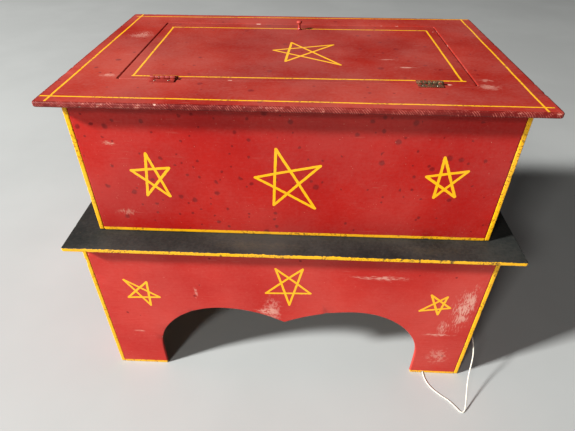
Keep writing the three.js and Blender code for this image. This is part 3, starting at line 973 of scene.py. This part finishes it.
def boardMesh(name, node, axis, style):
    low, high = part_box(node)
    thickness = high[axis] - low[axis]
    across, up = (axis + 1) % 3, (axis + 2) % 3
    verts, edgeValues, faces, kinds = [], [], [], []

    def place(point, depth):
        spot = Vector((0, 0, 0))
        spot[across], spot[up] = point
        spot[axis] = high[axis] - depth
        return spot

    def dip(spot):
        slow = noise.noise(spot * 7) * 0.6 + noise.noise(spot * 34) * 0.25
        return style["hollow"] * min(1.0, max(0.0, 0.5 + slow))

    def addPoint(point, depth, rim, chip):
        spot = place(point, depth)
        sunk = dip(spot)
        spot[axis] += sunk if depth > thickness / 2 else -sunk
        verts.append(spot)
        edgeValues.append((rim, depth / thickness, chip))
        return len(verts) - 1

    capLoops = {0: [], 1: []}
    loops = loopsThrough(node, axis)
    for loopIndex, loop in enumerate(loops):
        length = sum((b - a).length for a, b in zip(loop, loop[1:] + loop[:1]))
        isHole = length < 60 * mm
        rimKind = 2 if loopIndex == 0 else 0  # inside an opening the rim is painted with the face
        used = style if loopIndex == 0 else {**style, **openingStyle}
        used = holeStyle if isHole else used
        points, limits = (loop, [1.0] * len(loop)) if isHole else resampled(
            loop, used["step"], used["corner"])
        stations = edgeStations(thickness, used["rounding"], used["border"], style["plies"])
        directions = inwardDirections(points)
        rings = []
        for inward, depth, rim in stations:
            ring = []
            for point, direction, limit in zip(points, directions, limits):
                spot = place(point, depth)
                chip = 0.0
                pushIn, pushDown = 0.0, 0.0
                if not isHole and rim == 1.0:
                    pushIn = used["dent"] * max(0.0, noise.noise(spot * 90))
                    bite = noise.noise(spot * 115 + Vector((3, 7, 1)))
                    bite += 0.5 * noise.noise(spot * 18)
                    chip = min(1.0, max(0.0, bite - style["chipFrom"]) / 0.35)
                    fromFace = min(depth, thickness - depth)
                    nearFace = max(0.0, 1 - fromFace / (2.2 * used["rounding"]))
                    chip *= nearFace
                    pushIn += used["chip"] * chip * 0.8
                    pushDown = used["chip"] * chip * 0.6
                deeper = depth + (pushDown if depth < thickness / 2 else -pushDown)
                reach = min(inward, limit)
                if rim == 1.0:
                    reach = min(reach + pushIn, 0.85 * min(used["border"], limit))
                ring.append(addPoint(point + direction * reach, deeper, rim, chip))
            rings.append(ring)
        count = len(points)
        for ring, following in zip(rings, rings[1:]):
            for i in range(count):
                j = (i + 1) % count
                faces.append((ring[i], ring[j], following[j], following[i]))
                kinds.append(rimKind)
        capLoops[0].append(rings[0])
        capLoops[1].append(rings[-1])

    for side, rings in capLoops.items():
        boundary = [index for ring in rings for index in ring]
        flat = [Vector((verts[index][across], verts[index][up])) for index in boundary]
        outlines, constraints, starts = [], [], [0]
        for ring in rings:
            size, start = len(ring), starts[-1]
            outlines.append([tuple(point) for point in flat[start:start + size]])
            constraints += [(start + i, start + (i + 1) % size) for i in range(size)]
            starts.append(start + size)
        grid = innerGrid(low, high, across, up, outlines, style)
        depth = 0.0 if side == 0 else thickness
        indices = boundary + [addPoint(Vector(point), depth, 0.0, 0.0) for point in grid]
        coords = flat + [Vector(point) for point in grid]
        insideOnly = 1  # keeps the triangles inside the outlines
        _, _, triangles, original, _, _ = geometry.delaunay_2d_cdt(
            coords, constraints, [], insideOnly, 1e-8)
        for triangle in triangles:
            flatIndices = [original[i][0] for i in triangle]
            if fillsHole(flatIndices, starts):
                continue
            corners = [indices[i] for i in flatIndices]
            faces.append(corners if side == 0 else corners[::-1])
            kinds.append(side)

    mesh = bpy.data.meshes.new(name)
    mesh.from_pydata(verts, [], faces)
    mesh.polygons.foreach_set("material_index", kinds)
    attribute = mesh.attributes.new("boardEdge", "FLOAT_VECTOR", "POINT")
    attribute.data.foreach_set("vector", np.array(edgeValues, np.float32).ravel())
    work = bmesh.new()
    work.from_mesh(mesh)
    bmesh.ops.recalc_face_normals(work, faces=work.faces)
    work.to_mesh(mesh)
    work.free()
    smoothShaded(mesh)
    mesh.set_sharp_from_angle(angle=math.radians(35))
    return mesh


def fillsHole(triangle, starts):
    # a triangle with all its corners on one hole's ring, taken the hole's way round
    for start, end in zip(starts[1:], starts[2:]):
        if all(start <= index < end for index in triangle):
            a, b, c = triangle
            return not (a < b < c or b < c < a or c < a < b)
    return False


def innerGrid(low, high, across, up, outlines, style):
    # loose points inside the border, so that the faces can dip and catch light unevenly
    spacing = style["gridStep"]
    columns = np.arange(low[across] + spacing, high[across] - spacing / 2, spacing)
    rows = np.arange(low[up] + spacing, high[up] - spacing / 2, spacing)
    points = np.array([(x, y) for x in columns for y in rows])
    if not len(points):
        return []
    points = points[insideLoops(points, outlines)]
    rim = np.array([point for outline in outlines for point in outline])
    clear = [np.hypot(*(rim - point).T).min() > spacing * 0.35 for point in points]
    return [tuple(point) for point in points[clear]]


# star tips in millimetres, on the front of the chest and stand and on the door
chestFront = {
    "stripeSide": 6.6,
    "stripeFoot": 5.5,
    "starLine": 3.7,
    "stars": [
        [(-22, 437), (36, 414), (31, 345), (-26, 349), (-50, 394)],
        [(-192, 426), (-164, 405), (-169, 359), (-201, 360), (-216, 400)],
        [(192, 431), (226, 412), (218, 371), (190, 369), (174, 402)],
    ],
}
standFront = {
    "stripeSide": 6.6,
    "stripeFoot": 6.0,
    "starLine": 3.4,
    "stars": [
        [(-259, 214), (-224, 211), (-209, 177), (-227, 157), (-260, 174)],
        [(-23, 248), (17, 249), (31, 197), (-2, 169), (-39, 195)],
        [(216, 203), (241, 200), (250, 175), (234, 159), (204, 166)],
    ],
}
topLines = {
    "outer": 2.7,
    "inner": 2.7,
    "starLine": 3.4,
    "doorStar": [(-36, 4), (-10, 42), (54, 34), (61, -55), (-16, -44)],
    "hingeLeaf": 0.9,  # thickness of a hinge leaf
    "overHinge": 1.6,  # how much wider the door's line runs where it crosses a leaf
}
baseStripe = 5.4 * mm
standFoot = 85 * mm  # width of the stand's feet, which the bottom stripe follows


def upright(tips, y):
    return [(x * mm, y, z * mm) for x, z in tips]


def frontStrokes(marks, y, low, high, foot=None):
    # stripes down both side edges and along the bottom, as (start, end, width)
    side = marks["stripeSide"] * mm
    bottom = marks["stripeFoot"] * mm
    lines = [((x, y, low.z), (x, y, high.z), side)
             for x in (low.x + side / 2 - 0.05 * mm, high.x - side / 2 + 0.05 * mm)]
    spans = [(low.x, high.x)] if foot is None else [
        (low.x, low.x + foot), (high.x - foot, high.x)]
    lines += [((a, y, low.z + bottom / 2), (b, y, low.z + bottom / 2), bottom) for a, b in spans]
    return lines


def makeMaterials():
    chestLow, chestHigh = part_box("chest_left_panel")[0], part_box("chest_right_panel")[1]
    standLow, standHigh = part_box("stand_left_panel")[0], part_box("stand_right_panel")[1]
    made = {}
    chestLines = frontStrokes(chestFront, chestLow.y, chestLow, chestHigh)
    chestStars = [(upright(tips, chestLow.y), chestFront["starLine"] * mm)
                  for tips in chestFront["stars"]]
    chestScuffs = [
        ((-0.237, chestLow.y, 0.440), (0.018, 0.01, 0.006), (1, 1, 6), 0.7),
        ((-0.236, chestLow.y, 0.330), (0.02, 0.01, 0.01), (2, 1, 1), 0.35),
    ]
    made["chestFront"] = paintedWood("chestFrontPaint", {
        **redLook, "spotShare": 0.38}, chestLines, chestStars, chestScuffs)
    made["chestSide"] = paintedWood("chestSidePaint", {
        **redLook, "grain": (10, 1, 10), "flatten": (0, 1, 1)}, chestLines)
    made["chestBack"] = paintedWood("chestBackPaint", redLook)

    standLook = {**redLook, "body": shade(196, 45, 35), "deep": shade(181, 31, 23),
                 "faded": shade(204, 80, 66), "spotShare": 0.04, "spotSize": 0.2,
                 "chip": shade(220, 160, 144)}
    standLines = frontStrokes(standFront, standLow.y, standLow, standHigh, standFoot)
    standStars = [(upright(tips, standLow.y), standFront["starLine"] * mm)
                  for tips in standFront["stars"]]
    standScuffs = [
        ((-0.030, standLow.y, 0.152), (0.024, 0.01, 0.06), (1.5, 1, 0.8), 0.55),
        ((-0.036, standLow.y, 0.152), (0.03, 0.01, 0.014), (1, 1, 2), 0.9),
        ((0.270, standLow.y, 0.170), (0.027, 0.01, 0.075), (3, 1, 0.6), 0.95),
        ((0.279, standLow.y, 0.190), (0.014, 0.01, 0.060), (3, 1, 0.6), 0.9),
        ((0.250, standLow.y, 0.125), (0.016, 0.01, 0.030), (3, 1, 0.6), 0.7),
        ((-0.258, standLow.y, 0.090), (0.020, 0.01, 0.004), (0.5, 1, 3), 0.6),
        ((-0.150, standLow.y, 0.190), (0.006, 0.01, 0.022), (3, 1, 1), 0.6),
        ((0.245, standLow.y, 0.108), (0.045, 0.01, 0.007), (0.5, 1, 3), 0.8),
        ((0.132, standLow.y, 0.236), (0.07, 0.01, 0.008), (0.7, 1, 3), 0.8),
        ((0.256, standLow.y, 0.050), (0.03, 0.01, 0.036), (1, 1, 1), 0.5),
    ]
    made["standFront"] = paintedWood("standFrontPaint", standLook, standLines, standStars,
                                     standScuffs)
    made["standSide"] = paintedWood("standSidePaint", {
        **standLook, "grain": (10, 1, 10), "flatten": (0, 1, 1)}, standLines)
    made["standBack"] = paintedWood("standBackPaint", standLook)

    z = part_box("top_board")[1].z
    outer = topLines["outer"] * mm
    outerLines = [
        ((-0.307, -0.180, z), (0.298, -0.183, z), outer),
        ((-0.289, 0.196, z), (-0.2905, -0.194, z), outer),
        ((0.290, 0.198, z), (0.288, -0.201, z), outer),
        ((-0.296, 0.180, z), (0.301, 0.193, z), outer),
    ]
    topLook = {**redLook, "body": shade(174, 40, 26), "deep": shade(152, 30, 20),
               "faded": shade(184, 72, 54), "dustAmount": 0.09, "spotShare": 0.14,
               "under": shade(150, 52, 38), "chip": shade(232, 186, 168), "flatten": (1, 1, 0),
               "edgeAmount": 0.6, "fadeAmount": 0.4}
    topScuffs = [
        ((0.242, -0.125, z), (0.026, 0.016, 0.01), (1, 4, 1), 0.35),
        ((0.247, -0.103, z), (0.014, 0.010, 0.01), (1, 1, 1), 0.3),
        ((-0.255, 0.07, z), (0.03, 0.03, 0.01), (3, 3, 1), 0.4),
        ((-0.245, -0.11, z), (0.02, 0.01, 0.01), (1, 5, 1), 0.5),
    ]
    made["top"] = paintedWood("topPaint", topLook, outerLines, (), topScuffs)
    made["topEdge"] = paintedWood("topEdgePaint", {
        **topLook, "body": shade(124, 20, 15), "deep": shade(100, 13, 11), "dustAmount": 0.02,
        "faded": shade(150, 44, 36), "hatch": (2100, 1100, 1700), "hatched": shade(222, 120, 106)})
    inner = topLines["inner"] * mm
    doorLines = [
        ((-0.213, -0.110, z), (0.218, -0.107, z), inner),
        ((-0.214, 0.1155, z), (-0.212, -0.110, z), inner),
        ((0.213, 0.119, z), (0.214, -0.107, z), inner),
        ((-0.2155, 0.1155, z), (0.213, 0.119, z), inner),
    ]
    doorStar = [([(x * mm, y * mm, z) for x, y in topLines["doorStar"]],
                 topLines["starLine"] * mm)]
    doorScuffs = [
        ((0.150, -0.060, z), (0.026, 0.004, 0.01), (0.4, 3, 1), 0.7),
        ((0.130, -0.030, z), (0.020, 0.003, 0.01), (0.4, 3, 1), 0.6),
        ((0.2226, 0.112, z), (0.003, 0.002, 0.01), (1, 1, 1), 1.0),
    ]
    made["door"] = paintedWood("doorPaint", {
        **topLook, "body": shade(164, 34, 22), "deep": shade(144, 24, 15),
        "spotShare": 0.16}, doorLines, doorStar, doorScuffs)

    baseLow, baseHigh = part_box("base_board")
    middleZ = (baseLow.z + baseHigh.z) / 2
    baseLines = [((baseLow.x, baseLow.y, middleZ), (baseHigh.x, baseLow.y, middleZ), baseStripe)]
    made["base"] = paintedWood("baseBoardPaint", {
        **redLook, "body": shade(34, 37, 36), "deep": shade(23, 26, 25),
        "faded": shade(58, 60, 57), "spot": shade(24, 20, 18), "under": shade(44, 38, 30),
        "chip": shade(112, 96, 66), "dust": shade(150, 144, 136), "dustAmount": 0.10,
        "roughness": (0.5, 0.7), "fadeAmount": 0.3, "spotShare": 0.03, "edgeAmount": 0.6,
        "ragged": 0.0022}, baseLines, (), [
        ((-0.05, -0.2, baseHigh.z), (0.12, 0.02, 0.01), (1, 8, 1), 0.15),
        ((0.2, -0.2, baseHigh.z), (0.1, 0.02, 0.01), (1, 8, 1), 0.12),
    ])
    # the knob's red is paler than the other red: worn paint, and partly a painted highlight for the
    # light glinting on the small knob
    made["knob"] = paintedWood("knobPaint", {**redLook, "body": shade(196, 84, 70), "coat": 0.4,
                                             "roughness": (0.28, 0.4), "spotShare": 0.0})
    for axis, letter in enumerate("XYZ"):
        made["wood" + letter] = bareWood("bareWood" + letter, axis)
    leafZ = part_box("hinge_left_moving_leaf")[1].z - 2 * topLines["hingeLeaf"] * mm
    overHinge = [((a[0], a[1], leafZ), (b[0], b[1], leafZ), width * topLines["overHinge"])
                 for a, b, width in doorLines[:1]]
    for name, look in metalLooks.items():
        made[name] = agedMetal(name, look, overHinge if "Hinge" in name else ())
    return made


paints = makeMaterials()
print("materials made:", len(paints))

boards = {
    # name: (node, axis of the thickness, high side, low side, edges, style changes)
    "standFrontPanel": ("stand_front_panel", 1, "woodX", "standFront", "standFront", {}),
    "standBackPanel": ("stand_back_panel", 1, "standBack", "woodX", "standBack", {}),
    "standLeftPanel": ("stand_left_panel", 0, "woodY", "standSide", "standSide", {}),
    "standRightPanel": ("stand_right_panel", 0, "standSide", "woodY", "standSide", {}),
    "baseBoard": ("base_board", 2, "base", "base", "base", {"chip": 1.2 * mm}),
    "chestFrontPanel": ("chest_front_panel", 1, "woodX", "chestFront", "chestFront", {}),
    "chestBackPanel": ("chest_back_panel", 1, "chestBack", "woodX", "chestBack", {}),
    "chestLeftPanel": ("chest_left_panel", 0, "woodY", "chestSide", "chestSide", {}),
    "chestRightPanel": ("chest_right_panel", 0, "chestSide", "woodY", "chestSide", {}),
    "chestFloor": ("chest_floor", 2, "woodX", "woodX", "woodX", {}),
    "topBoard": ("top_board", 2, "top", "woodX", "topEdge", {
        "rounding": 1.9 * mm, "corner": 5 * mm, "border": 3 * mm, "chip": 1.5 * mm,
        "dent": 0.35 * mm}),
    "trapdoor": ("trapdoor", 2, "door", "woodX", "door", {
        "rounding": 0.8 * mm, "dent": 0.05 * mm, "chip": 0.25 * mm}),
}


def makeBoards():
    for name, (node, axis, high, low, edge, changes) in boards.items():
        mesh = boardMesh(name, node, axis, {**boardStyle, **changes})
        body = doorBody if node == "trapdoor" else chestBody
        newPiece(name, mesh, [paints[high], paints[low], paints[edge]], body, [node])
    print("boards made:", len(boards))


makeBoards()


# blocks, rails, cleats and ledges, with softened corners
barStyle = {"rounding": 0.8 * mm, "segments": 3}
hingeStyle = {"rounding": 0.22 * mm, "segments": 2}


def softenedMesh(name, node, style):
    work = bmesh.new()
    work.from_mesh(cadNodes[node].data)
    bmesh.ops.remove_doubles(work, verts=work.verts, dist=1e-6)
    bmesh.ops.dissolve_limit(work, angle_limit=math.radians(1), verts=work.verts,
                             edges=work.edges)
    sharp = [edge for edge in work.edges
             if edge.is_manifold and edge.calc_face_angle() > math.radians(35)]
    bmesh.ops.bevel(work, geom=sharp, offset=style["rounding"], segments=style["segments"],
                    profile=0.5, affect="EDGES", clamp_overlap=True)
    bmesh.ops.recalc_face_normals(work, faces=work.faces)
    mesh = bpy.data.meshes.new(name)
    work.to_mesh(mesh)
    work.free()
    mesh.set_sharp_from_angle(angle=math.radians(40))
    return mesh


def camelName(node):
    first, *others = node.split("_")
    return first + "".join(word.capitalize() for word in others)


def makeBars():
    words = ("block", "rail", "cleat", "ledge")
    names = [node for node in cadNodes if any(word in node for word in words)]
    for node in sorted(names):
        low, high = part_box(node)
        size = high - low
        letter = "XYZ"[max(range(3), key=lambda axis: size[axis])]
        mesh = softenedMesh(camelName(node), node, barStyle)
        newPiece(camelName(node), mesh, [paints["wood" + letter]], chestBody, [node])
    print("blocks, rails, cleats and ledges made:", len(names))


makeBars()


# hinges, knob and screws
def turnedMesh(name, profile, sides, centre, axis="Z"):
    # profile is (radius, along) from one end to the other
    work = bmesh.new()
    turn = {"Z": Matrix.Identity(3), "X": Matrix.Rotation(math.pi / 2, 3, "Y")}[axis]
    previous = None
    for radius, along in profile:
        if radius == 0:
            ring = [work.verts.new(centre + turn @ Vector((0, 0, along)))] * sides
        else:
            ring = [work.verts.new(centre + turn @ Vector((
                radius * math.cos(2 * math.pi * i / sides),
                radius * math.sin(2 * math.pi * i / sides), along))) for i in range(sides)]
        if previous:
            for i in range(sides):
                j = (i + 1) % sides
                corners = [previous[i], previous[j], ring[j], ring[i]]
                work.faces.new(list(dict.fromkeys(corners)))
        previous = ring
    bmesh.ops.recalc_face_normals(work, faces=work.faces)
    mesh = bpy.data.meshes.new(name)
    work.to_mesh(mesh)
    work.free()
    mesh.polygons.foreach_set("use_smooth", [True] * len(mesh.polygons))
    mesh.set_sharp_from_angle(angle=math.radians(50))
    return mesh


def makeHinges():
    for side, look in (("left", "paintedHinge"), ("right", "chippedHinge")):
        for part, body in (("fixed_leaf", chestBody), ("moving_leaf", doorBody)):
            node = f"hinge_{side}_{part}"
            mesh = softenedMesh(camelName(node), node, hingeStyle)
            newPiece(camelName(node), mesh, [paints[look]], body, [node])
        node = f"hinge_{side}_pin"
        low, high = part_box(node)
        centre = (low + high) / 2
        half = (high.x - low.x) / 2
        headRadius = (high.y - low.y) / 2
        neck = half - 0.8 * mm
        end = [(headRadius * 0.6, half), (headRadius * 0.95, half - 0.25 * mm),
               (headRadius, half - 0.5 * mm), (headRadius * 0.9, neck), (1 * mm, neck)]
        profile = [(0, half), *end, *((radius, -along) for radius, along in reversed(end)),
                   (0, -half)]
        mesh = turnedMesh(camelName(node), profile, 24, centre, "X")
        newPiece(camelName(node), mesh, [paints[look]], chestBody, [node])
    print("hinges made")


# radius and height up the knob, in millimetres
knobProfile = [
    (0, 0), (3.2, 0), (3.4, 0.3), (3.3, 0.9), (2.7, 1.7), (2.25, 2.9), (2.1, 4.6), (2.1, 6.4),
    (2.3, 7.9), (2.9, 8.9), (3.8, 9.7), (4.4, 10.5), (4.6, 11.4), (4.45, 12.2), (3.9, 13),
    (3.0, 13.55), (1.9, 13.85), (0.9, 13.97), (0, 14),
]


def makeKnob():
    low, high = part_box("knob")
    foot = Vector(((low.x + high.x) / 2, (low.y + high.y) / 2, low.z))
    profile = [(radius * mm, height * mm) for radius, height in knobProfile]
    mesh = turnedMesh("knob", profile, 32, foot)
    newPiece("doorKnob", mesh, [paints["knob"]], doorBody, ["knob"])
    print("knob made")


def makeScrewTree():
    tree, given, out = startGroup(
        "slottedScrews",
        {"Points": "Geometry", "Head Radius": "Float", "Shank Radius": "Float",
         "Head Depth": "Float", "Length": "Float", "Slot Width": "Float", "Thread Pitch": "Float",
         "Upside Down": "Bool", "Metal": "Material"},
        {"Screws": "Geometry"}, "GeometryNodeTree")

    def cone(topRadius, bottomRadius, depth, topAt):
        shape = addNode(tree, "GeometryNodeMeshCone")
        shape.inputs["Vertices"].default_value = 24
        feed(tree, shape.inputs["Radius Top"], topRadius)
        feed(tree, shape.inputs["Radius Bottom"], bottomRadius)
        feed(tree, shape.inputs["Depth"], depth)
        shift = combined(tree, z=calc(tree, "SUBTRACT", topAt, depth))
        return movedBy(tree, shape.outputs["Mesh"], shift)

    headDepth, length = given["Head Depth"], given["Length"]
    rimDepth = calc(tree, "MULTIPLY", headDepth, 0.2)
    rim = cone(calc(tree, "MULTIPLY", given["Head Radius"], 0.94), given["Head Radius"], rimDepth, 0.0)
    head = cone(given["Head Radius"], given["Shank Radius"],
                calc(tree, "SUBTRACT", headDepth, rimDepth),
                calc(tree, "MULTIPLY", rimDepth, -1.0))
    tipLength = calc(tree, "MULTIPLY", length, 0.22)
    shankLength = calc(tree, "SUBTRACT", calc(tree, "SUBTRACT", length, headDepth), tipLength)
    coreRadius = calc(tree, "MULTIPLY", given["Shank Radius"], 0.78)
    shank = cone(coreRadius, coreRadius, shankLength, calc(tree, "MULTIPLY", headDepth, -1.0))
    tipTop = calc(tree, "SUBTRACT", tipLength, length)
    tip = cone(coreRadius, calc(tree, "MULTIPLY", coreRadius, 0.12), tipLength, tipTop)

    slotBox = addNode(tree, "GeometryNodeMeshCube")
    slotLength = calc(tree, "MULTIPLY", given["Head Radius"], 3.0)
    feed(tree, slotBox.inputs["Size"], combined(tree, slotLength, given["Slot Width"], headDepth))
    slotted = addNode(tree, "GeometryNodeMeshBoolean", operation="DIFFERENCE")
    feed(tree, slotted.inputs["Mesh 1"], joinedFrom(tree, (head, rim)))
    feed(tree, slotted.inputs["Mesh 2"], slotBox.outputs["Mesh"])

    spiral = addNode(tree, "GeometryNodeCurveSpiral")
    feed(tree, spiral.inputs["Start Radius"], coreRadius)
    feed(tree, spiral.inputs["End Radius"], coreRadius)
    feed(tree, spiral.inputs["Height"], calc(tree, "MULTIPLY", shankLength, 0.8))
    feed(tree, spiral.inputs["Rotations"], calc(
        tree, "DIVIDE", calc(tree, "MULTIPLY", shankLength, 0.8), given["Thread Pitch"]))
    spiral.inputs["Resolution"].default_value = 16
    ridge = addNode(tree, "GeometryNodeCurvePrimitiveCircle")
    ridge.inputs["Resolution"].default_value = 4
    feed(tree, ridge.inputs["Radius"], calc(tree, "MULTIPLY", given["Shank Radius"], 0.22))
    thread = tubeAlong(tree, spiral.outputs["Curve"], ridge.outputs["Curve"])
    thread = movedBy(tree, thread, combined(tree, z=tipTop))
    screw = joinedFrom(tree, (slotted.outputs["Mesh"], shank, tip, thread))

    spin = addNode(tree, "FunctionNodeRandomValue", data_type="FLOAT")
    spin.inputs[3].default_value = math.pi
    spin.inputs["Seed"].default_value = 5
    flip = calc(tree, "MULTIPLY", given["Upside Down"], math.pi)
    copies = addNode(tree, "GeometryNodeInstanceOnPoints")
    feed(tree, copies.inputs["Points"], given["Points"])
    feed(tree, copies.inputs["Instance"], screw)
    feed(tree, copies.inputs["Rotation"], combined(tree, x=flip, z=spin.outputs[1]))
    finishTree(tree, copies.outputs[0], given["Metal"], out["Screws"])
    return tree


screwSets = {
    # name: (start of the node names, body, head depth, shank radius, slot width, pitch, head down)
    "baseScrews": ("base_screw", chestBody, 2.4, 1.8, 0.9, 1.6, True),
    "fixedLeafScrews": ("fixed_leaf_screw", chestBody, 1.0, 1.1, 0.6, 0.8, False),
    "movingLeafScrews": ("moving_leaf_screw", doorBody, 1.0, 1.1, 0.6, 0.8, False),
    "knobScrew": ("knob_screw", doorBody, 2.0, 1.1, 0.8, 1.0, True),
}


def makeScrews():
    tree = makeScrewTree()
    for name, (start, body, headDepth, shank, slotWidth, pitch, headDown) in screwSets.items():
        names = sorted(node for node in cadNodes if node.startswith(start))
        places = []
        for node in names:
            low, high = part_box(node)
            z = low.z if headDown else high.z
            places.append(((low.x + high.x) / 2, (low.y + high.y) / 2, z))
        size = high - low
        points = bpy.data.meshes.new(name + "Points")
        points.from_pydata(places, [], [])
        mesh = meshFromTree(name, newObject(name + "Points", points), tree, {
            "Head Radius": size.x / 2, "Shank Radius": shank * mm, "Head Depth": headDepth * mm,
            "Length": size.z, "Slot Width": slotWidth * mm, "Thread Pitch": pitch * mm,
            "Upside Down": headDown, "Metal": paints["agedScrew"]})
        mesh.set_sharp_from_angle(angle=math.radians(40))
        newPiece(name, facesOut(mesh), [paints["agedScrew"]], body, names)
        print(name, len(mesh.vertices), "vertices")


makeHinges()
makeKnob()
makeScrews()
